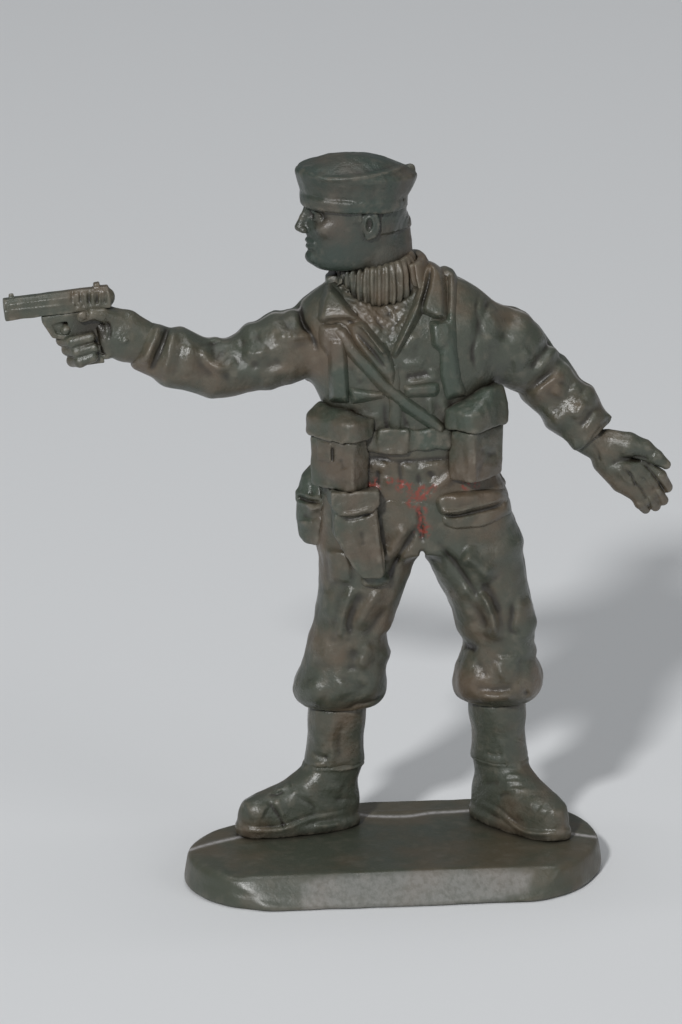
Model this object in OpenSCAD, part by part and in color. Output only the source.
// Toy soldier figure, about 1:32, aiming a pistol with the right arm and reaching back with the left.
// The figure faces -Y, its right hand points along -X, and the underside of its base lies on z = 0.
// Every sculpted element is a solid of its own that meets its neighbours face to face.

/* [Base] */
// Length of the base at its foot
base_l = 34.5; // [30:0.2:42]
// Width of the base at its foot, front to back
base_w = 19.8; // [17:0.2:24]
// Thickness of the base
base_t = 2.6; // [2:0.1:4]
// How far the side wall leans in over its height
base_draft = 0.4; // [0.2:0.1:0.9]
// Width of the slope that breaks the upper edge of the base
base_edge = 0.4; // [0.2:0.1:0.6]
// Radius of the front corners of the base
front_corner_r = 8; // [6:0.2:9.6]
// How far the corner behind the right foot is set in from the end of the base
right_back_inset = 7; // [4:0.2:8]
// How far the corner in front of the left foot is set in from the end of the base
left_front_inset = 0.9; // [0:0.1:2]
// Depth of the flat left by the cut-off runner, at the top of the front wall
gate_cut = 1.4; // [0.8:0.1:2]
// Height of the raised parting line on the top of the base
seam_h = 0.12; // [0.08:0.02:0.3]
// Width of that parting line
seam_w = 0.36; // [0.2:0.02:0.6]

/* [Stance] */
// Distance from the middle of the base to the middle of the hips, sideways
figure_x = 2.4; // [1:0.1:4]
// Distance from the middle of the base back to the middle of the hips
figure_y = 2.3; // [1:0.1:3]
// Distance from the middle of the hips out to each ankle
ankle_spread = 6.8; // [5.6:0.1:8.2]
// Distance from the middle of the hips back to the ankles
ankle_back = 1.4; // [0.6:0.1:2]
// Angle by which the right foot points away from straight sideways
right_toe_turn = 13; // [5:1:30]
// Angle by which the left foot points away from straight sideways
left_toe_turn = 53; // [40:1:75]

/* [Boots] */
// Length of a boot
boot_l = 10.5; // [8.4:0.1:12.2]
// Width of a boot
boot_w = 3.9; // [3.2:0.1:4.7]
// Height of a boot from the base to the edge of the anklet
boot_h = 5.3; // [4.4:0.1:6.4]
// How far the right sole stands ahead of its ankle
right_sole_ahead = 0.8; // [0:0.1:1.2]
// Thickness of the sole
sole_t = 0.8; // [0.6:0.05:1]
// How far the welt of the sole stands out round the boot
welt = 0.18; // [0.1:0.01:0.3]
// Height of an anklet, from the boot to the hem of the trousers
anklet_h = 5.4; // [4.4:0.1:6.5]
// How far an anklet stands out from the boot
anklet_t = 0.2; // [0.1:0.01:0.3]

/* [Trousers] */
// Height of a trouser leg, from its hem to the crotch
leg_h = 13.6; // [11.2:0.1:16.2]
// Width of a thigh at the crotch
thigh_w = 8.1; // [6.7:0.1:9.7]
// Depth of a thigh from front to back
thigh_d = 7.4; // [6.1:0.1:8.9]
// Height from the crotch to the hem of the jacket
seat_h = 4.9; // [4:0.1:5.9]
// Width of the hips
hip_w = 16.8; // [15:0.1:20]

/* [Jacket] */
// Height of the jacket from its hem to the neck
torso_h = 18; // [15:0.1:21.5]
// How far the neck leans to the figure's right of its hips
lean = 3.6; // [2.8:0.1:4.4]
// Width of the jacket across the shoulders
chest_w = 17.2; // [14.2:0.1:20.5]
// Depth of the jacket at the chest
chest_d = 9.2; // [7.6:0.1:11]
// How deep the pullover lies behind the open jacket front
opening_depth = 0.5; // [0.3:0.05:0.8]
// Thickness of the lapels
lapel_t = 0.7; // [0.5:0.05:0.9]
// Thickness of pocket flaps and of the buttoned front
flap_t = 0.35; // [0.25:0.05:0.5]
// Height of the stand of the collar
collar_h = 3.4; // [2.8:0.1:4]
// Thickness of the stand of the collar
collar_t = 0.7; // [0.5:0.05:0.9]

/* [Sleeves] */
// Thickness of a sleeve above the elbow
sleeve_w = 4.8; // [4:0.1:5.7]
// Depth of the folds round a sleeve
fold_depth = 0.16; // [0.08:0.01:0.24]
// Length of the right upper arm, from the shoulder to the elbow
right_upper_l = 8.3; // [6.9:0.1:9.9]
// Length of the right forearm, from the elbow to the end of the cuff
right_fore_l = 7.1; // [5.8:0.1:8.5]
// Length of the left upper arm, as it runs down and back
left_upper_l = 7.1; // [5.8:0.1:8.5]
// Length of the left forearm, as it runs down and forward
left_fore_l = 6.2; // [5.1:0.1:7.4]
// Slope of the right upper arm below the horizontal
right_upper_drop = 21; // [12:1:30]
// Slope of the right forearm above the horizontal
right_fore_rise = 22; // [12:1:30]
// Slope of the left upper arm below the horizontal
left_upper_drop = 44; // [36:1:52]
// Slope of the left forearm below the horizontal
left_fore_drop = 49; // [41:1:57]

/* [Hands] */
// Width of a wrist
wrist_w = 2.9; // [2.4:0.1:3.5]
// Width of a palm across the knuckles
palm_w = 4; // [3.3:0.1:4.8]
// Thickness of a palm
palm_t = 1.8; // [1.5:0.1:2.2]
// Length of the left hand from the cuff to the knuckles
palm_l = 4.9; // [4.1:0.1:5.8]
// Thickness of a finger
finger_w = 1.05; // [0.85:0.05:1.25]
// Length of the left middle finger
finger_l = 3.2; // [2.6:0.1:3.8]
// Slope of the left hand below the horizontal
left_hand_drop = 46; // [36:1:54]

/* [Pistol] */
// Length of the slide of the pistol
slide_l = 8.4; // [7:0.1:10]
// Height of the slide
slide_h = 1.7; // [1.4:0.05:2]
// Thickness of the slide
slide_w = 1.5; // [1.2:0.05:1.8]
// Diameter of the muzzle
muzzle_d = 0.6; // [0.4:0.05:0.8]
// Depth of the muzzle
muzzle_depth = 0.5; // [0.3:0.1:0.8]
// Depth of the grooves at the back of the slide
groove_depth = 0.12; // [0.06:0.02:0.2]
// Height of the grip and its frame below the slide
grip_h = 4.4; // [3.6:0.1:5.2]
// Slope of the pistol below the horizontal
pistol_drop = 6; // [0:1:10]

/* [Neck and head] */
// Thickness of the neck
neck_w = 5; // [4.1:0.1:5.8]
// Width of the roll neck
roll_w = 6.8; // [6.2:0.1:8.1]
// Height of the roll neck
roll_h = 3.4; // [2.8:0.1:4]
// Number of ribs round the roll neck
ribs = 24; // [20:1:30]
// Depth of the furrows between the ribs
rib_depth = 0.2; // [0.1:0.02:0.3]
// Height of the head from the chin to the crown
head_h = 8.7; // [7.3:0.1:10.3]
// Length of the head from front to back
head_l = 8; // [6.7:0.1:9.5]
// Width of the head
head_w = 5.7; // [4.8:0.1:6.8]
// Height of an ear
ear_h = 2.3; // [1.9:0.1:2.7]
// Angle by which the face turns from straight sideways to the front
head_turn = 8; // [0:1:20]

/* [Cap] */
// Height of the band of the cap
band_h = 1.1; // [0.9:0.05:1.4]
// Thickness of the band beyond the head
band_t = 0.35; // [0.25:0.05:0.5]
// Height of the side of the crown
crown_h = 1.8; // [1.5:0.1:2.2]
// How far the rim of the crown stands out beyond the band
crown_flare = 0.55; // [0.3:0.05:0.6]
// Rise of the top of the crown above its rim
crown_rise = 1.25; // [1:0.05:1.5]
// Tilt of the cap, up at the front
cap_tilt = 3; // [0:1:8]

/* [Webbing] */
// Width of the belt
belt_w = 1.9; // [1.5:0.1:2.3]
// Thickness of the belt
belt_t = 0.45; // [0.3:0.05:0.6]
// Width of the belt buckle
buckle_w = 2.4; // [2:0.1:2.9]
// Thickness of the buckle beyond the belt
buckle_t = 0.25; // [0.15:0.05:0.4]
// Width of a shoulder brace
brace_w = 1.2; // [1:0.05:1.45]
// Thickness of the braces and the cross strap
strap_t = 0.4; // [0.3:0.05:0.5]
// Width of the cross strap
cross_w = 0.8; // [0.65:0.05:1]
// Width of an ammunition pouch
pouch_w = 4.5; // [3.7:0.1:5.4]
// Depth of an ammunition pouch
pouch_d = 2.7; // [2.3:0.1:3.2]
// Height of the body of an ammunition pouch
pouch_h = 4.2; // [3.5:0.1:5]
// Height of the lid of an ammunition pouch
lid_h = 1.6; // [1.3:0.1:1.9]
// How much higher the outer end of the left pouch lid stands than its inner end
lid_rise = 1.5; // [1.1:0.1:1.9]
// How far a lid stands out over the body of its pouch
lid_over = 0.4; // [0.25:0.05:0.55]
// Radius of the upright edges of the pouches
pouch_round = 0.6; // [0.4:0.05:0.8]
// Length of the holster
holster_l = 7.2; // [6:0.1:8.6]
// Width of the holster at its mouth
holster_w = 3.5; // [2.9:0.1:4.2]
// How far the holster stands out in front of the thigh
holster_t = 1.3; // [1.1:0.05:1.55]
// How far the flap of the holster stands out over it
holster_flap_t = 0.3; // [0.2:0.05:0.4]
// Height of the water bottle
bottle_h = 6.6; // [5.5:0.1:7.9]
// Width of the water bottle
bottle_w = 4.6; // [3.8:0.1:5.5]
// How far the water bottle stands out from the hip
bottle_t = 1.7; // [1.4:0.1:2]
// Thickness of the carrier of the water bottle
carrier_t = 0.2; // [0.15:0.05:0.3]

/* [Hidden] */
plastic = "#5b5a49";
shaded_plastic = "#4f5145";
pale_plastic = "#67645a";

// How far a cut runs past the surface that it cuts
overrun = 1;
// Sides of the torso, a limb and a finger
torso_sides = 24;
limb_sides = 14;
finger_sides = 6;
// How square a limb and a torso are: 1 is an ellipse, smaller is squarer
limb_power_share = 0.86;
torso_power_share = 0.76;

// Levels, each stacked on the one below
ankle_z = base_t + boot_h;
hem_z = ankle_z + anklet_h;
crotch_z = hem_z + leg_h;
waist_z = crotch_z + seat_h;
neck_z = waist_z + torso_h;

// Rows of a trouser leg from its hem up: height, way out from the hip to the ankle,
// width, depth, and way back from the hip to the ankle
right_leg_shares = [
    [0.000, 0.91, 0.76, 0.76, 0.75],
    [0.045, 0.87, 0.91, 0.88, 0.65],
    [0.120, 0.85, 0.94, 0.96, 0.45],
    [0.210, 0.78, 0.88, 0.88, 0.25],
    [0.310, 0.66, 0.85, 0.82, 0.10],
    [0.440, 0.64, 0.78, 0.79, 0.00],
    [0.625, 0.36, 0.82, 0.86, 0.00],
    [0.816, 0.16, 0.90, 0.95, 0.00],
    [1.000, 0.00, 1.00, 1.00, 0.00]
];
left_leg_shares = [
    [0.000, 0.88, 0.68, 0.74, 0.60],
    [0.045, 0.86, 0.86, 0.86, 0.50],
    [0.125, 0.89, 0.91, 0.95, 0.35],
    [0.250, 0.87, 0.80, 0.84, 0.15],
    [0.375, 0.90, 0.69, 0.76, 0.05],
    [0.460, 0.80, 0.79, 0.82, 0.00],
    [0.625, 0.63, 0.82, 0.87, 0.00],
    [0.816, 0.29, 0.92, 0.95, 0.00],
    [1.000, 0.00, 1.00, 1.00, 0.00]
];
// Rows of a boot from its sole up: height, way forward, half length, half width
boot_shares = [
    [0.00, 0.230, 0.490, 0.47],
    [0.14, 0.230, 0.495, 0.50],
    [0.32, 0.225, 0.487, 0.50],
    [0.47, 0.213, 0.455, 0.49],
    [0.62, 0.132, 0.352, 0.47],
    [0.78, 0.062, 0.272, 0.47],
    [1.00, 0.000, 0.230, 0.49]
];
// Rows of the torso from the hem of the jacket up: height, lean, width, depth
torso_shares = [
    [0.000, 0.18, 0.87, 0.92],
    [0.150, 0.28, 0.77, 0.90],
    [0.265, 0.34, 0.72, 0.87],
    [0.430, 0.38, 0.80, 0.93],
    [0.590, 0.41, 0.93, 0.99],
    [0.730, 0.46, 0.97, 0.97],
    [0.835, 0.57, 0.90, 0.80],
    [0.920, 0.58, 0.67, 0.57],
    [1.000, 0.82, 0.42, 0.45]
];
// The row of that table where the belt runs
belt_row = 2;
last_row = len(torso_shares) - 1;
lean_share_curve = [for (row = torso_shares) [row[0], row[1]]];
// Rows of the seat of the trousers from the crotch up: height, lean, width, depth
seat_shares = [
    [0.00, 0.00, 0.975, 1.04],
    [0.30, 0.05, 0.945, 1.08],
    [0.65, 0.12, 0.905, 1.12],
    [1.00, 0.18, 0.885, 1.12]
];
// Rows of a sleeve from the shoulder: thickness along the upper arm, then along the forearm
upper_sleeve_shares = [0.78, 1.25, 1.1, 1.0];
fore_sleeve_shares = [0.97, 0.98, 0.93, 0.80];
// The angle by which the folds of the two sleeves differ
fold_phase = 60;

// Front-view outlines on the torso: sideways in half chest widths from its middle line,
// and up in torso heights
right_lapel_shares = [
    [-0.17, 0.66], [-0.28, 0.76], [-0.40, 0.825], [-0.69, 0.81], [-0.66, 0.90],
    [-0.55, 0.935], [-0.37, 0.945], [-0.345, 0.90], [-0.28, 0.83]
];
left_lapel_shares = [
    [-0.17, 0.66], [0.02, 0.76], [0.20, 0.855], [0.42, 0.815], [0.50, 0.92],
    [0.46, 1.00], [0.30, 1.03], [0.22, 0.94], [0.08, 0.83]
];
opening_shares = [[-0.17, 0.67], [-0.30, 0.84], [-0.32, 1.05], [0.26, 1.05], [0.12, 0.86]];
placket_shares = [[-0.22, 0.655], [-0.10, 0.655], [-0.09, 0.30], [-0.23, 0.30]];
right_chest_flap_shares = [[-0.52, 0.525], [-0.25, 0.51], [-0.26, 0.45], [-0.53, 0.465]];
left_chest_flap_shares = [[0.00, 0.535], [0.28, 0.535], [0.28, 0.475], [0.00, 0.480]];
// The braces and the cross strap run between these points
right_brace_shares = [[-0.60, 0.265], [-0.63, 1.02]];
left_brace_shares = [[0.46, 0.265], [0.63, 1.02]];
cross_strap_shares = [[-0.70, 0.82], [0.40, 0.30]];
// The map pocket on the seat: sideways in half hip widths and up in seat heights
map_flap_shares = [[0.08, 0.86], [0.80, 0.92], [0.88, 0.52], [0.55, 0.44], [0.15, 0.56]];
map_pocket_shares = [[0.16, 0.60], [0.84, 0.60], [0.86, 0.10], [0.20, 0.14]];

// A point set round an oval, squarer as the power falls below 1
function oval(c, u, v, a, b, p, n) = [
    for (i = [0:n - 1])
        let (w = 360 * i / n)
        c + a * sign(cos(w)) * pow(abs(cos(w)), p) * u + b * sign(sin(w)) * pow(abs(sin(w)), p) * v
];
function unit(v) = v / norm(v);
// An oval square to a direction, with its b half-width as near to the reference as it can be
function ring(c, along, ref, a, b, p, n) =
    let (t = unit(along), u = unit(cross(ref, t)), v = cross(t, u))
    oval(c, u, v, a, b, p, n);
// A row on a smooth curve through the rows of a table, at s from 0 to the last row
function row_at(table, s) =
    let (
        m = len(table) - 1,
        k = max(0, min(floor(s), m - 1)),
        u = s - k,
        p0 = table[max(k - 1, 0)],
        p1 = table[k],
        p2 = table[k + 1],
        p3 = table[min(k + 2, m)]
    )
    (2 * p1 + (p2 - p0) * u + (2 * p0 - 5 * p1 + 4 * p2 - p3) * u * u
        + (3 * p1 - p0 - 3 * p2 + p3) * u * u * u) / 2;

// A closed skin over a stack of rings, each turning the same way about the path
module skin(rings) {
    n = len(rings[0]);
    m = len(rings);
    foot = [[for (i = [0:n - 1]) i]];
    head = [[for (i = [n - 1:-1:0]) (m - 1) * n + i]];
    left = [for (k = [0:m - 2], i = [0:n - 1]) [k * n + i, (k + 1) * n + i, (k + 1) * n + (i + 1) % n]];
    right = [for (k = [0:m - 2], i = [0:n - 1]) [k * n + i, (k + 1) * n + (i + 1) % n, k * n + (i + 1) % n]];
    polyhedron([for (r = rings) each r], concat(foot, head, left, right), convexity = 6);
}

// A finger: a tube along points, rounded off at its tip
module finger(points, w, ref) {
    m = len(points) - 1;
    tip = unit(points[m] - points[m - 1]);
    path = concat(points, [points[m] + tip * w * 0.28, points[m] + tip * w * 0.42]);
    girth_shares = concat([for (i = [0:m]) 1], [0.76, 0.36]);
    skin([
        for (i = [0:m + 2])
            ring(path[i], path[min(i + 1, m + 2)] - path[max(i - 1, 0)], ref,
                girth_shares[i] * w / 2, girth_shares[i] * w / 2, 1, finger_sides)
    ]);
}

// Base

// The back corners take up nearly half the width of the base
back_corner_r = 0.49 * base_w;

// One corner of the base, drafted, with its upper edge broken
module base_corner(x, y, r) {
    translate([x, y, 0]) {
        cylinder(h = base_t - base_edge / 2, r1 = r, r2 = r - base_draft, $fn = 48);
        cylinder(h = base_t, r = r - base_draft - base_edge, $fn = 48);
    }
}

module base_plate() {
    // Way out to the corners from the middle of the base: in front, then behind
    front_x = base_l / 2 - front_corner_r;
    back_x = base_l / 2 - back_corner_r;
    hull() {
        base_corner(-front_x, front_corner_r - base_w / 2, front_corner_r);
        base_corner(front_x - left_front_inset, front_corner_r - base_w / 2, front_corner_r);
        base_corner(right_back_inset - back_x, base_w / 2 - back_corner_r, back_corner_r);
        base_corner(back_x, base_w / 2 - back_corner_r, back_corner_r);
    }
}

// The flat on the front wall where the runner was cut off
module gate_flat() {
    lean_in = base_draft + gate_cut;
    rotate([90, 0, 90])
        translate([0, 0, -base_l / 2])
            linear_extrude(base_l)
                polygon([
                    [-base_w / 2, 0], [lean_in - base_w / 2, base_t],
                    [lean_in - base_w / 2, base_t + overrun],
                    [-base_w / 2 - overrun, base_t + overrun], [-base_w / 2 - overrun, 0]
                ]);
}

// The parting line runs across the top, broken by the boots: ends in half lengths and half widths
seam_shares = [
    [[-0.93, -0.18], [-0.87, 0.00]],
    [[-0.87, 0.00], [-0.66, 0.13]],
    [[-0.10, 0.62], [0.42, 0.66]],
    [[0.80, 0.05], [0.90, -0.06]]
];
module base_seam() {
    for (line = seam_shares) {
        a = [line[0].x * base_l / 2, line[0].y * base_w / 2];
        b = [line[1].x * base_l / 2, line[1].y * base_w / 2];
        q = unit([a.y - b.y, b.x - a.x]) * seam_w / 2;
        translate([0, 0, base_t - seam_h])
            linear_extrude(2 * seam_h)
                polygon([a - q, b - q, b + q, a + q]);
    }
}

module base() {
    color(plastic) {
        difference() {
            base_plate();
            gate_flat();
        }
        difference() {
            base_seam();
            for (side = [-1, 1])
                sole(side);
        }
    }
}

// Feet: side is -1 for the figure's right and 1 for its left

function ankle(side) = [figure_x + side * ankle_spread, figure_y + ankle_back, 0];
function toe_way(side) =
    let (turn = side < 0 ? right_toe_turn : left_toe_turn)
    [side * cos(turn), -sin(turn), 0];

function boot_ring(side, row, grow) =
    let (
        f = toe_way(side),
        base_level = base_t + sole_t,
        ahead = side < 0 ? right_sole_ahead * (1 - row[0]) : 0
    )
    oval(
        ankle(side) + f * (row[1] * boot_l + ahead) + [0, 0, base_level + row[0] * (boot_h - sole_t)],
        f, cross([0, 0, 1], f), row[2] * boot_l + grow, row[3] * boot_w + grow, 0.84, 20
    );

module sole(side) {
    outline = [for (p = boot_ring(side, boot_shares[1], welt)) [p.x, p.y]];
    translate([0, 0, base_t])
        linear_extrude(sole_t)
            polygon(outline);
}

module boot(side) {
    steps = 9;
    skin([for (k = [0:steps]) boot_ring(side, row_at(boot_shares, k * (len(boot_shares) - 1) / steps), 0)]);
}

module anklet(side) {
    table = side < 0 ? right_leg_shares : left_leg_shares;
    top = leg_row(side, table[0]);
    f = toe_way(side);
    // The anklet narrows above the ankle and widens again towards the hem
    girth_shares = [1, 0.91, 0.91, 0.96, 0.97];
    steps = len(girth_shares) - 1;
    hem_r = min(top[3], top[4]) * 0.87;
    ankle_row = boot_shares[len(boot_shares) - 1];
    a0 = ankle_row[2] * boot_l + anklet_t;
    b0 = ankle_row[3] * boot_w + anklet_t;
    skin([
        for (k = [0:steps])
            let (s = k / steps)
            oval(
                (1 - s) * ankle(side) + s * [top[0], top[1], 0] + [0, 0, ankle_z + s * anklet_h],
                f, cross([0, 0, 1], f),
                girth_shares[k] * ((1 - s) * a0 + s * hem_r), girth_shares[k] * ((1 - s) * b0 + s * hem_r),
                limb_power_share, limb_sides
            )
    ]);
}

module right_sole() { color(shaded_plastic) sole(-1); }
module left_sole() { color(shaded_plastic) sole(1); }
module right_boot() { color(plastic) boot(-1); }
module left_boot() { color(plastic) boot(1); }
module right_anklet() { color(pale_plastic) anklet(-1); }
module left_anklet() { color(pale_plastic) anklet(1); }

// Trousers

// Centre x, centre y, level, half width and half depth of a row of a leg
function leg_row(side, row) =
    let (hip = thigh_w / 2)
    [
        figure_x + side * (hip + (ankle_spread - hip) * row[1]),
        figure_y + ankle_back * row[4],
        hem_z + leg_h * row[0],
        row[2] * thigh_w / 2,
        row[3] * thigh_d / 2
    ];

module leg_form(side) {
    table = side < 0 ? right_leg_shares : left_leg_shares;
    steps = 16;
    skin([
        for (k = [0:steps])
            let (r = leg_row(side, row_at(table, k * (len(table) - 1) / steps)))
            oval([r[0], r[1], r[2]], [1, 0, 0], [0, 1, 0], r[3], r[4], limb_power_share, limb_sides)
    ]);
}

module right_trouser_leg() { color(plastic) leg_form(-1); }
module left_trouser_leg() { color(plastic) leg_form(1); }

module seat_form(grow) {
    steps = 6;
    skin([
        for (k = [0:steps])
            let (r = row_at(seat_shares, k * (len(seat_shares) - 1) / steps))
            oval(
                [figure_x - lean * r[1], figure_y, crotch_z + seat_h * r[0]], [1, 0, 0], [0, 1, 0],
                r[2] * hip_w / 2 + grow, r[3] * thigh_d / 2 + grow, torso_power_share, torso_sides
            )
    ]);
}

module trouser_seat() { color(plastic) seat_form(0); }

// A bar out through the front of the seat within an outline
module seat_bar(shares) {
    translate([figure_x, figure_y, crotch_z])
        rotate([90, 0, 0])
            linear_extrude(thigh_d)
                polygon([for (s = shares) [s.x * hip_w / 2, s.y * seat_h]]);
}

module map_flap_bar() { seat_bar(map_flap_shares); }

// A patch that lies on the front of the seat within an outline
module seat_patch(shares, grow) {
    difference() {
        intersection() {
            seat_form(grow);
            seat_bar(shares);
        }
        seat_form(0);
    }
}

module map_pocket() {
    color(plastic)
        difference() {
            seat_patch(map_pocket_shares, flap_t / 2);
            map_flap_bar();
        }
}
module map_pocket_flap() { color(pale_plastic) seat_patch(map_flap_shares, flap_t); }

// Jacket

// The torso between two rows of its table, grown outwards
module torso_form(first, last, grow) {
    steps = ceil((last - first) * 2);
    skin([
        for (k = [0:steps])
            let (r = row_at(torso_shares, first + k * (last - first) / steps))
            oval(
                [figure_x - lean * r[1], figure_y, waist_z + torso_h * r[0]], [1, 0, 0], [0, 1, 0],
                r[2] * chest_w / 2 + grow, r[3] * chest_d / 2 + grow, torso_power_share, torso_sides
            )
    ]);
}

// A place on the torso seen from the front, from its shares
function on_torso(s) = [
    figure_x - lean * lookup(s.y, lean_share_curve) + s.x * chest_w / 2,
    waist_z + s.y * torso_h
];

// A bar through the torso from front to back, or from its middle to the front
module front_bar(outline, front_only) {
    translate([0, front_only ? figure_y : figure_y + chest_d, 0])
        rotate([90, 0, 0])
            linear_extrude(front_only ? chest_d : 2 * chest_d)
                polygon(outline);
}

// The outline of a strap of a given width between two places on the torso
function strap_outline(shares, w) =
    let (
        a = on_torso(shares[0]), b = on_torso(shares[1]),
        d = unit(b - a), q = [-d.y, d.x] * w / 2
    )
    [a - q, b - q, b + q, a + q];

// What lies on the jacket within a bar, up to a thickness
module jacket_patch(grow) {
    difference() {
        intersection() {
            torso_form(0, last_row, grow);
            children();
        }
        torso_form(0, last_row, 0);
    }
}

module opening_bar() { front_bar([for (s = opening_shares) on_torso(s)], true); }
module right_lapel_bar() { front_bar([for (s = right_lapel_shares) on_torso(s)], true); }
module left_lapel_bar() { front_bar([for (s = left_lapel_shares) on_torso(s)], true); }

module jacket_skirt() { color(plastic) torso_form(0, belt_row, 0); }

module jacket() {
    color(plastic)
        difference() {
            torso_form(belt_row, last_row, 0);
            opening_bar();
            roll_hole();
        }
}

module pullover() {
    color(shaded_plastic)
        difference() {
            intersection() {
                torso_form(belt_row, last_row, -opening_depth);
                opening_bar();
            }
            roll_hole();
        }
}

module right_lapel() {
    color(pale_plastic)
        difference() {
            jacket_patch(lapel_t) right_lapel_bar();
            roll_hole();
            collar_form();
            sleeve_form(-1);
        }
}

module left_lapel() {
    color(pale_plastic)
        difference() {
            jacket_patch(lapel_t) left_lapel_bar();
            roll_hole();
            collar_form();
            sleeve_form(1);
        }
}

module front_placket() {
    color(plastic)
        difference() {
            jacket_patch(flap_t) front_bar([for (s = placket_shares) on_torso(s)], true);
            right_lapel_bar();
            left_lapel_bar();
            cross_strap_bar();
            belt_form();
        }
}

module chest_flap(shares) {
    difference() {
        jacket_patch(flap_t) front_bar([for (s = shares) on_torso(s)], true);
        cross_strap_bar();
        brace_bar(right_brace_shares);
        brace_bar(left_brace_shares);
        lid_form(-1);
        lid_form(1);
    }
}

module right_chest_flap() { color(pale_plastic) chest_flap(right_chest_flap_shares); }
module left_chest_flap() { color(pale_plastic) chest_flap(left_chest_flap_shares); }

// Neck

// The roll neck and the collar lean with the neck, up at the back
neck_tilt = 11;
neck_lean_share = 0.98;
module on_neck() {
    translate([figure_x - lean * neck_lean_share, figure_y, neck_z])
        rotate([0, -neck_tilt, 0])
            children();
}

// The roll neck: ribs run up it, and it narrows towards the neck
roll_girth_shares = [0.94, 1, 1, 0.93];
roll_level_shares = [-0.75, -0.55, -0.05, 0.25];
module roll_rings(n, r, furrow) {
    on_neck()
        skin([
            for (k = [0:3])
                [for (i = [0:n - 1])
                    let (w = 360 * i / n, ring_r = roll_girth_shares[k] * r - (i % 2) * furrow)
                    [ring_r * cos(w), ring_r * sin(w), roll_level_shares[k] * roll_h]]
        ]);
}

module roll_form() { roll_rings(2 * ribs, roll_w / 2, rib_depth); }

// The hole that the roll neck stands in clears the crests of its ribs
module roll_hole() { roll_rings(torso_sides, roll_w / 2 / cos(180 / torso_sides), 0); }

module neck_form() {
    on_neck()
        translate([0, 0, -0.5 * roll_h])
            cylinder(h = 0.75 * roll_h + 0.25 * head_h, d = neck_w, $fn = 32);
}

module roll_neck() {
    color(shaded_plastic)
        difference() {
            roll_form();
            neck_form();
            head_form();
        }
}

// The stand of the collar goes round the back of the roll neck and is open in front
module collar_form() {
    r = roll_w / 2 + collar_t;
    difference() {
        on_neck()
            translate([0, 0, -0.5 * collar_h])
                cylinder(h = collar_h * 0.56, r1 = r + collar_t / 2, r2 = r - collar_t / 4, $fn = 32);
        roll_hole();
        on_neck()
            translate([-0.18 * roll_w, -roll_w, -collar_h])
                rotate([0, 0, -8])
                    translate([-roll_w / 2, -roll_w / 2, 0])
                        cube([roll_w, roll_w * 1.2, 2 * collar_h]);
    }
}

module collar() {
    color(pale_plastic)
        difference() {
            collar_form();
            torso_form(belt_row, last_row, 0);
        }
}

// Head

face_way = [-cos(head_turn), -sin(head_turn), 0];
head_at = [figure_x - lean * 1.46, figure_y - 0.05 * head_l, neck_z + 0.01 * head_h];
// Rows of the head from under the chin up: height, reach forward, reach back, half width
head_shares = [
    [0.00, 0.36, 0.10, 0.24],
    [0.03, 0.42, 0.16, 0.34],
    [0.10, 0.46, 0.28, 0.40],
    [0.20, 0.45, 0.38, 0.44],
    [0.32, 0.455, 0.43, 0.47],
    [0.45, 0.46, 0.47, 0.50],
    [0.60, 0.465, 0.50, 0.52],
    [0.75, 0.46, 0.51, 0.52],
    [0.90, 0.38, 0.44, 0.44],
    [1.00, 0.20, 0.26, 0.26]
];
// Soft bumps of the face: height, angle from the front, size, spread in height, spread in angle
face_shares = [
    [0.10, 0, 0.030, 0.05, 22],
    [0.215, 0, 0.030, 0.022, 16],
    [0.265, 0, 0.034, 0.022, 15],
    [0.36, 0, 0.095, 0.040, 11],
    [0.43, 0, 0.070, 0.070, 10],
    [0.52, 0, 0.040, 0.060, 10],
    [0.36, 15, 0.025, 0.030, 8],
    [0.36, -15, 0.025, 0.030, 8],
    [0.60, 22, 0.035, 0.03, 20],
    [0.60, -22, 0.035, 0.03, 20],
    [0.53, 30, -0.045, 0.04, 12],
    [0.53, -30, -0.045, 0.04, 12],
    [0.43, 48, 0.030, 0.06, 18],
    [0.43, -48, 0.030, 0.06, 18]
];
head_sides = 30;

function bump(z, w) =
    let (turn = w > 180 ? w - 360 : w)
    sum([
        for (f = face_shares)
            f[2] * exp(-pow((z - f[0]) / f[3], 2) - pow((turn - f[1]) / f[4], 2))
    ]);
function sum(list, i = 0) = i < len(list) ? list[i] + sum(list, i + 1) : 0;

function head_ring(row) = [
    for (i = [0:head_sides - 1])
        let (
            w = 360 * i / head_sides,
            reach = (cos(w) > 0 ? row[1] : row[2]) * head_l,
            swell = bump(row[0], w) * head_l,
            along = reach * sign(cos(w)) * pow(abs(cos(w)), 0.9) + swell * max(cos(w), 0),
            across = row[3] * head_w * sign(sin(w)) * pow(abs(sin(w)), 0.9) + swell * sin(w) / 2
        )
        head_at + [0, 0, row[0] * head_h] + face_way * along + cross([0, 0, 1], face_way) * across
];

module head_form() {
    steps = 18;
    skin([for (k = [0:steps]) head_ring(row_at(head_shares, k * (len(head_shares) - 1) / steps))]);
}

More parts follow.
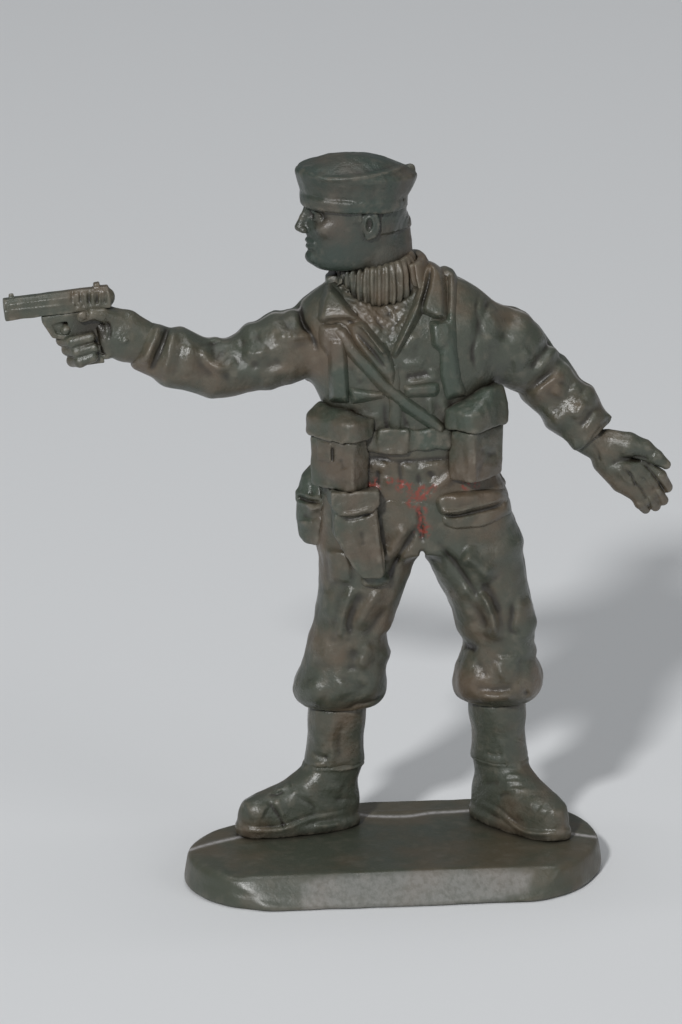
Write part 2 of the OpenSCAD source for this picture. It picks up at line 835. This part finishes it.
// The ears: an oval shell with a hollow, on each side of the head
module ear(side) {
    out = cross([0, 0, 1], face_way) * side;
    back = -face_way;
    c = head_at + back * 0.06 * head_l + out * head_w * 0.47 + [0, 0, 0.46 * head_h];
    lift = [0, 0, 1];
    // Way out and half height of each row
    row_shares = [[-0.3, 0.28], [0.25, 0.42], [0.5, 0.5], [0.62, 0.42]];
    skin([
        for (r = row_shares)
            oval(
                c + out * r[0] * ear_h * 0.4 + back * r[0] * ear_h * 0.1,
                side > 0 ? back : lift, side > 0 ? lift : back,
                r[1] * ear_h * (side > 0 ? 0.66 : 1), r[1] * ear_h * (side > 0 ? 1 : 0.66), 1, 12
            )
    ]);
}

// The plane where the crown of the cap begins
module on_cap(rise) {
    translate(head_at + [0, 0, 0.58 * head_h])
        rotate([0, 0, head_turn])
            rotate([0, cap_tilt, 0])
                translate([0, 0, rise])
                    children();
}

module head() {
    color(plastic)
        intersection() {
            union() {
                head_form();
                neck_form();
                ear(1);
                ear(-1);
            }
            on_cap(band_h - 4 * head_h)
                cylinder(h = 4 * head_h, r = 2 * head_l, $fn = 32);
        }
}

// A ring of the cap: level, growth beyond the head, and how round it is
function cap_ring(level, grow, flat) = oval(
    [-0.02 * head_l, 0, level], [1, 0, 0], [0, 1, 0],
    (0.5 * head_l + grow) * flat, (0.52 * head_w + grow) * flat + 0.04 * head_l, 0.92, torso_sides
);

module cap_band() {
    color(plastic)
        difference() {
            on_cap(0)
                skin([
                    cap_ring(0, 0.7 * band_t, 1),
                    cap_ring(0.2 * band_h, band_t, 1),
                    cap_ring(0.8 * band_h, band_t, 1),
                    cap_ring(band_h, 0.7 * band_t, 1)
                ]);
            head_form();
            ear(1);
            ear(-1);
        }
}

module cap_crown() {
    rim = band_t + crown_flare;
    color(shaded_plastic)
        on_cap(band_h)
            skin([
                cap_ring(0, band_t, 1),
                cap_ring(0.35 * crown_h, 0.4 * rim + 0.6 * band_t, 1),
                cap_ring(0.8 * crown_h, 0.95 * rim, 1),
                cap_ring(0.93 * crown_h, rim, 1),
                cap_ring(crown_h, 0.9 * rim, 1),
                cap_ring(crown_h + 0.35 * crown_rise, 0.5 * rim, 0.84),
                cap_ring(crown_h + 0.75 * crown_rise, 0.5 * rim, 0.55),
                cap_ring(crown_h + crown_rise, 0.5 * rim, 0.2)
            ]);
}

// Sleeves

function slope(side, drop, back) = unit([side * cos(drop), back, -sin(drop)]);
function shoulder(side) = [
    figure_x - lean * lookup(0.7, lean_share_curve) + side * 0.39 * chest_w,
    figure_y,
    waist_z + (side < 0 ? 0.70 : 0.725) * torso_h
];
// The left elbow lies a little behind the shoulder
back_share = 0.18;
function elbow(side) = shoulder(side) + (side < 0
    ? right_upper_l * slope(side, right_upper_drop, 0)
    : left_upper_l * slope(side, left_upper_drop, back_share));
function cuff_way(side) = side < 0
    ? slope(side, -right_fore_rise, -back_share / 2)
    : slope(side, left_fore_drop, -back_share);
function cuff(side) = elbow(side) + (side < 0 ? right_fore_l : left_fore_l) * cuff_way(side);

// Points of the sleeve's middle line, bent smoothly at the elbow
function sleeve_line(side, s) =
    let (a = shoulder(side), b = elbow(side), c = cuff(side), bend = 0.3)
    s < 1 - bend ? a + (b - a) * s
    : s > 1 + bend ? b + (c - b) * (s - 1)
    : let (
        p = a + (b - a) * (1 - bend), q = b + (c - b) * bend,
        t = (s - 1 + bend) / (2 * bend)
    )
    (1 - t) * (1 - t) * p + 2 * t * (1 - t) * b + t * t * q;

module sleeve_form(side) {
    steps = 20;
    // The folds: wide ones and narrower ones, in turns of a wave over the sleeve
    wide_folds = 4.2;
    narrow_folds = 8.1;
    girth_shares = concat(upper_sleeve_shares, fore_sleeve_shares);
    line = [for (k = [0:steps]) sleeve_line(side, 2 * k / steps)];
    skin([
        for (k = [0:steps])
            let (
                s = k / steps,
                girth = row_at(girth_shares, s * (len(girth_shares) - 1)) * sleeve_w / 2,
                wave = sin(360 * wide_folds * s) + 0.7 * sin(360 * narrow_folds * s + fold_phase * side),
                r = girth + fold_depth * wave * min(1, 3 * s),
                way = k == steps ? cuff_way(side) : line[k + 1] - line[max(k - 1, 0)]
            )
            ring(line[k], way, [0, 1, 0], r, r, limb_power_share, limb_sides)
    ]);
}

module sleeve(side) {
    difference() {
        sleeve_form(side);
        torso_form(0, last_row, 0);
    }
}

module right_sleeve() { color(plastic) sleeve(-1); }
module left_sleeve() { color(plastic) sleeve(1); }

// Hands

// The open left hand, palm to the front, in a frame of its own:
// x runs from the wrist to the fingers, y towards the thumb, and z out of the back of the hand
module on_left_hand() {
    translate(cuff(1))
        multmatrix([
            [cos(left_hand_drop), sin(left_hand_drop), 0, 0],
            [0, 0, 1, 0],
            [-sin(left_hand_drop), cos(left_hand_drop), 0, 0],
            [0, 0, 0, 1]
        ])
            children();
}

module open_hand() {
    // Rows of the palm: way along, middle towards the thumb, half width, half thickness
    palm_shares = [
        [-0.12, 0.00, 0.34, 0.60], [0.15, 0.01, 0.37, 0.58], [0.45, 0.06, 0.45, 0.54],
        [0.75, 0.05, 0.50, 0.48], [0.95, 0.02, 0.49, 0.42], [1.04, 0.00, 0.44, 0.28]
    ];
    skin([
        for (r = palm_shares)
            oval(
                [r[0] * palm_l, r[1] * palm_w, 0], [0, 1, 0], [0, 0, 1],
                r[2] * palm_w, r[3] * palm_t, 0.85, 14
            )
    ]);
    // Fingers: middle towards the thumb, length, spread
    finger_shares = [[0.36, 0.90, 2], [0.13, 1.00, -3], [-0.11, 0.94, -8], [-0.33, 0.80, -14]];
    for (f = finger_shares) {
        start = [0.88 * palm_l, f[0] * palm_w, 0];
        way = [cos(f[2]), sin(f[2]), 0] * f[1] * finger_l;
        curl = [0, 0, -finger_w];
        finger([start, start + way * 0.4, start + way * 0.75 + curl * 0.22, start + way + curl * 0.7],
            finger_w, [0, 1, 0]);
    }
    // The thumb points along the index finger, apart from it
    thumb = [[0.16, 0.16, 0], [0.50, 0.44, -0.15], [0.84, 0.60, -0.3], [1.14, 0.66, -0.4]];
    finger([for (p = thumb) [p.x * palm_l, p.y * palm_w, p.z * palm_t]], 1.25 * finger_w, [0, 0, 1]);
}

module left_hand() {
    color(plastic)
        difference() {
            on_left_hand() open_hand();
            sleeve_form(1);
        }
}

// The pistol hangs from the fist: x runs back along the slide from the muzzle, z up from its underside
fist_share = 0.70;
module on_pistol() {
    reach = cuff_way(-1);
    translate(cuff(-1) + reach * palm_w * 1.26 + [0, 0, palm_w * 0.29])
        rotate([0, -pistol_drop, 0])
            translate([-fist_share * slide_l, 0, 0])
                children();
}

module slide_outline() {
    edge = slide_h * 0.22;
    polygon([
        [-slide_w / 2, 0], [slide_w / 2, 0], [slide_w / 2, slide_h - edge], [slide_w / 2 - edge, slide_h],
        [edge - slide_w / 2, slide_h], [-slide_w / 2, slide_h - edge]
    ]);
}

module pistol_slide() {
    groove_pitch = slide_l * 0.062;
    sight = slide_h * 0.2;
    color(shaded_plastic)
        on_pistol() {
            difference() {
                rotate([90, 0, 90])
                    linear_extrude(slide_l)
                        slide_outline();
                translate([-overrun, 0, slide_h / 2])
                    rotate([0, 90, 0])
                        cylinder(h = muzzle_depth + overrun, d = muzzle_d, $fn = 24);
                for (k = [0:4], side = [-1, 1])
                    translate([slide_l * 0.68 + k * groove_pitch, side * slide_w / 2, slide_h * 0.55])
                        cube([groove_pitch / 2, 2 * groove_depth, slide_h * 0.6], center = true);
            }
            translate([slide_l * 0.06, -sight / 2, slide_h])
                cube([slide_l * 0.05, sight, sight]);
            translate([slide_l * 0.86, -slide_w / 4, slide_h])
                cube([slide_l * 0.06, slide_w / 2, sight]);
        }
}

// The frame: dust cover, trigger guard and grip in one outline
module frame_outline() {
    difference() {
        polygon([
            [0.34 * slide_l, 0], [0.34 * slide_l, -0.12 * grip_h], [0.42 * slide_l, -0.42 * grip_h],
            [0.56 * slide_l, -0.50 * grip_h], [0.62 * slide_l, -0.60 * grip_h], [0.70 * slide_l, -grip_h],
            [0.88 * slide_l, -grip_h], [0.84 * slide_l, -0.35 * grip_h], [0.96 * slide_l, -0.12 * grip_h],
            [0.96 * slide_l, 0]
        ]);
        polygon([
            [0.42 * slide_l, -0.16 * grip_h], [0.46 * slide_l, -0.36 * grip_h],
            [0.56 * slide_l, -0.40 * grip_h], [0.58 * slide_l, -0.16 * grip_h]
        ]);
    }
}

module frame_form() {
    translate([0, slide_w * 0.4, 0])
        rotate([90, 0, 0])
            linear_extrude(slide_w * 0.8)
                frame_outline();
}

module pistol_frame() { color(plastic) on_pistol() frame_form(); }

// The right hand closes round the grip, in the pistol's frame
module fist() {
    grip_x = 0.74 * slide_l;
    gap = slide_w * 0.4;
    // Fingers round the front of the grip: level, way forward
    curl_shares = [[-0.50, 0.00], [-0.70, 0.04], [-0.89, 0.09]];
    for (f = curl_shares) {
        z = f[0] * grip_h;
        x = grip_x + (f[1] - 0.12) * slide_l;
        finger([
            [x + 1.7 * finger_w, gap + finger_w * 0.5, z],
            [x + 0.3 * finger_w, gap + finger_w * 0.55, z],
            [x - 0.55 * finger_w, gap - finger_w * 0.1, z],
            [x - 0.6 * finger_w, -gap + finger_w * 0.05, z],
            [x + 0.1 * finger_w, -gap - finger_w * 0.5, z],
            [x + 1.2 * finger_w, -gap - finger_w * 0.5, z]
        ], finger_w, [0, 0, 1]);
    }
    // The index finger lies along the frame to the trigger
    finger([
        [grip_x + finger_w, -gap - finger_w * 0.35, -0.28 * grip_h],
        [grip_x - 0.7 * finger_w, -gap - finger_w * 0.45, -0.25 * grip_h],
        [grip_x - 2 * finger_w, -gap - finger_w * 0.3, -0.26 * grip_h]
    ], finger_w, [0, 0, 1]);
    // The thumb lies above it
    finger([
        [grip_x + 2.2 * finger_w, -gap - finger_w * 0.3, -0.30 * grip_h],
        [grip_x + finger_w, -gap - finger_w * 0.5, -0.12 * grip_h],
        [grip_x - 0.3 * finger_w, -gap - finger_w * 0.4, -0.09 * grip_h]
    ], finger_w * 1.15, [0, 0, 1]);
    // The heel of the hand behind the grip: level, way back, half length, half thickness
    heel_shares = [
        [-0.92, 0.16, 0.26, 0.55], [-0.80, 0.20, 0.38, 0.70], [-0.50, 0.26, 0.50, 0.78],
        [-0.20, 0.32, 0.50, 0.74], [-0.02, 0.34, 0.36, 0.60]
    ];
    skin([
        for (r = heel_shares)
            oval(
                [grip_x + r[1] * palm_w + 0.2 * finger_w, 0, r[0] * grip_h], [1, 0, 0], [0, 1, 0],
                r[2] * palm_w * 0.9, r[3] * palm_t + gap * 0.5, 0.85, 14
            )
    ]);
}

module right_hand_form() {
    on_pistol() fist();
    // The wrist runs out of the cuff into the heel of the hand
    way = cuff_way(-1);
    wrist_shares = [[-0.15, 0.5, 0.5], [0.25, 0.52, 0.5], [0.6, 0.62, 0.56], [1.05, 0.60, 0.58]];
    skin([
        for (r = wrist_shares)
            ring(cuff(-1) + way * r[0] * palm_w, way, [0, 1, 0], r[1] * wrist_w, r[2] * wrist_w, 0.9, 14)
    ]);
}

module right_hand() {
    color(plastic)
        difference() {
            right_hand_form();
            sleeve_form(-1);
            on_pistol() frame_form();
            on_pistol()
                translate([0, -slide_w, 0])
                    cube([slide_l, 2 * slide_w, slide_h]);
        }
}

// Webbing

belt_z = waist_z + torso_shares[belt_row][0] * torso_h;

module belt_form() {
    r = torso_shares[belt_row];
    level_shares = [-0.5, -0.35, 0.35, 0.5];
    proud_shares = [0.6, 1, 1, 0.6];
    skin([
        for (k = [0:3])
            oval(
                [figure_x - lean * r[1], figure_y, belt_z + level_shares[k] * belt_w], [1, 0, 0], [0, 1, 0],
                r[2] * chest_w / 2 + proud_shares[k] * belt_t, r[3] * chest_d / 2 + proud_shares[k] * belt_t,
                torso_power_share, torso_sides
            )
    ]);
}

module belt() {
    color(pale_plastic)
        difference() {
            belt_form();
            torso_form(0, last_row, 0);
        }
}

module buckle_bar() {
    at = on_torso([-0.17, torso_shares[belt_row][0]]);
    translate([at.x - buckle_w / 2, figure_y - chest_d, belt_z - 0.56 * belt_w])
        cube([buckle_w, chest_d, 1.12 * belt_w]);
}

module belt_buckle() {
    color(pale_plastic)
        difference() {
            intersection() {
                torso_form(0, last_row, belt_t + buckle_t);
                buckle_bar();
            }
            belt_form();
            torso_form(0, last_row, 0);
            front_placket();
        }
}

module brace_bar(shares) { front_bar(strap_outline(shares, brace_w), false); }
module cross_strap_bar() { front_bar(strap_outline(cross_strap_shares, cross_w), true); }

module brace(side, shares) {
    difference() {
        jacket_patch(strap_t) brace_bar(shares);
        belt_form();
        right_lapel_bar();
        left_lapel_bar();
        collar_form();
        sleeve_form(side);
        pouch_bay(side);
        lid_form(side);
    }
}

module right_brace() { color(pale_plastic) brace(-1, right_brace_shares); }
module left_brace() { color(pale_plastic) brace(1, left_brace_shares); }

module cross_strap() {
    color(pale_plastic)
        difference() {
            jacket_patch(strap_t) cross_strap_bar();
            brace_bar(right_brace_shares);
            brace_bar(left_brace_shares);
            right_lapel_bar();
            pouch_bay(1);
            lid_form(1);
            belt_form();
        }
}

// A rectangle with rounded corners
function round_box(w, d, r) = [
    for (q = [0:3], a = [0:3])
        let (
            cx = (q == 0 || q == 3 ? 1 : -1) * (w / 2 - r),
            cy = (q < 2 ? 1 : -1) * (d / 2 - r),
            t = 90 * q + 30 * a
        )
        [cx + r * cos(t), cy + r * sin(t)]
];

// The pouches hang on the belt at the front corners of the waist, placed by the upright edge
// that stands furthest forward
module on_pouch(side) {
    at = on_torso([0, torso_shares[belt_row][0]]);
    turn = side < 0 ? -45 : 47;
    out_share = side < 0 ? 0.286 : 0.276;
    front_share = side < 0 ? 0.62 : 0.64;
    drop_share = side < 0 ? 0.94 : 0.80;
    x = at.x + side * out_share * chest_w;
    y = figure_y - front_share * chest_d;
    translate([x, y, belt_z - drop_share * pouch_h])
        rotate([0, 0, turn])
            translate([side * pouch_w / 2, pouch_d / 2, 0])
                children();
}

module pouch_form(side) {
    on_pouch(side)
        linear_extrude(pouch_h)
            polygon(round_box(pouch_w, pouch_d, pouch_round));
}

// The outline of a pouch lid, which stands over its pouch all round
lid_outline = round_box(pouch_w + 2 * lid_over, pouch_d + 2 * lid_over, pouch_round + lid_over);

// The room under a lid, where the straps that pass behind a pouch end
module pouch_bay(side) {
    on_pouch(side)
        linear_extrude(pouch_h)
            polygon(lid_outline);
}

// A lid rises towards its outer end
module lid_form(side) {
    rise = side < 0 ? 0.6 * lid_rise : lid_rise;
    outer_w = 0.4 * pouch_w;
    outer_d = side < 0 ? 0.5 * pouch_d : pouch_d;
    on_pouch(side)
        translate([0, 0, pouch_h])
            hull() {
                linear_extrude(lid_h)
                    polygon(lid_outline);
                translate([side * (pouch_w - outer_w) / 2, (pouch_d - outer_d) / 2, 0])
                    linear_extrude(lid_h + rise)
                        polygon(round_box(outer_w + lid_over, outer_d, pouch_round));
            }
}

module pouch(side) {
    difference() {
        pouch_form(side);
        torso_form(0, last_row, 0);
        belt_form();
        seat_form(0);
    }
}

module pouch_lid(side) {
    difference() {
        lid_form(side);
        torso_form(0, last_row, 0);
        belt_form();
        sleeve_form(side);
    }
}

module right_pouch() { color(shaded_plastic) pouch(-1); }
module left_pouch() { color(shaded_plastic) pouch(1); }
module right_pouch_lid() { color(pale_plastic) pouch_lid(-1); }
module left_pouch_lid() { color(pale_plastic) pouch_lid(1); }

// Holster on the right thigh

holster_top = waist_z + 0.05 * torso_h;
function holster_x() = figure_x - 0.69 * hip_w / 2;

module on_holster(t) {
    translate([holster_x(), figure_y - 0.56 * thigh_d - t, holster_top])
        rotate([90, 0, 0])
            mirror([0, 0, 1])
                linear_extrude(t + 0.34 * thigh_d)
                    children();
}

module holster_outline() {
    polygon([
        [-0.5 * holster_w, 0], [0.5 * holster_w, 0], [0.52 * holster_w, -0.3 * holster_l],
        [0.72 * holster_w, -0.94 * holster_l], [0.60 * holster_w, -holster_l],
        [0.16 * holster_w, -holster_l], [0.04 * holster_w, -0.92 * holster_l],
        [-0.48 * holster_w, -0.5 * holster_l]
    ]);
}

module holster_flap_outline() {
    polygon([
        [-0.56 * holster_w, 0.02 * holster_l], [0.54 * holster_w, 0.02 * holster_l],
        [0.56 * holster_w, -0.14 * holster_l], [0.38 * holster_w, -0.24 * holster_l],
        [-0.36 * holster_w, -0.26 * holster_l], [-0.57 * holster_w, -0.16 * holster_l]
    ]);
}

module behind_holster() {
    torso_form(0, belt_row, 0);
    seat_form(0);
    leg_form(-1);
    pouch_form(-1);
}

module holster() {
    color(plastic)
        difference() {
            on_holster(holster_t) holster_outline();
            behind_holster();
            on_holster(holster_t + holster_flap_t) holster_flap_outline();
        }
}

module holster_flap() {
    color(pale_plastic)
        difference() {
            on_holster(holster_t + holster_flap_t) holster_flap_outline();
            behind_holster();
        }
}

// Water bottle behind the right hip

module bottle_form(grow) {
    // Rows from its foot up: level, growth
    row_shares = [[0, 0.72], [0.08, 0.9], [0.3, 1], [0.62, 0.98], [0.84, 0.8], [1, 0.45]];
    c = [figure_x - 0.46 * hip_w, figure_y + 0.12 * thigh_d, crotch_z - 0.01 * seat_h];
    way = unit([-0.5, -0.55, 0]);
    skin([
        for (r = row_shares)
            oval(
                c + [0, 0, bottle_h * r[0]], way, cross([0, 0, 1], way),
                (bottle_t + grow) * r[1], bottle_w / 2 * r[1] + grow, 0.8, 16
            )
    ]);
}

module beside_bottle() {
    torso_form(0, belt_row, 0);
    seat_form(0);
    leg_form(-1);
    pouch_form(-1);
    on_holster(holster_t) holster_outline();
    on_holster(holster_t + holster_flap_t) holster_flap_outline();
}

module water_bottle() {
    color(shaded_plastic)
        difference() {
            bottle_form(0);
            beside_bottle();
        }
}

// The strap of the carrier goes round the bottle
module bottle_carrier() {
    color(pale_plastic)
        difference() {
            intersection() {
                bottle_form(carrier_t);
                translate([figure_x - hip_w, figure_y - hip_w / 2, crotch_z + 0.5 * bottle_h])
                    cube([hip_w, hip_w, 0.16 * bottle_h]);
            }
            bottle_form(0);
            beside_bottle();
        }
}

base();
right_sole();
left_sole();
right_boot();
left_boot();
right_anklet();
left_anklet();
right_trouser_leg();
left_trouser_leg();
trouser_seat();
jacket_skirt();
jacket();
pullover();
right_lapel();
left_lapel();
collar();
front_placket();
right_chest_flap();
left_chest_flap();
roll_neck();
head();
cap_band();
cap_crown();
right_sleeve();
left_sleeve();
right_hand();
left_hand();
pistol_slide();
pistol_frame();
belt();
belt_buckle();
right_brace();
left_brace();
cross_strap();
right_pouch();
left_pouch();
right_pouch_lid();
left_pouch_lid();
holster();
holster_flap();
water_bottle();
bottle_carrier();
map_pocket();
map_pocket_flap();
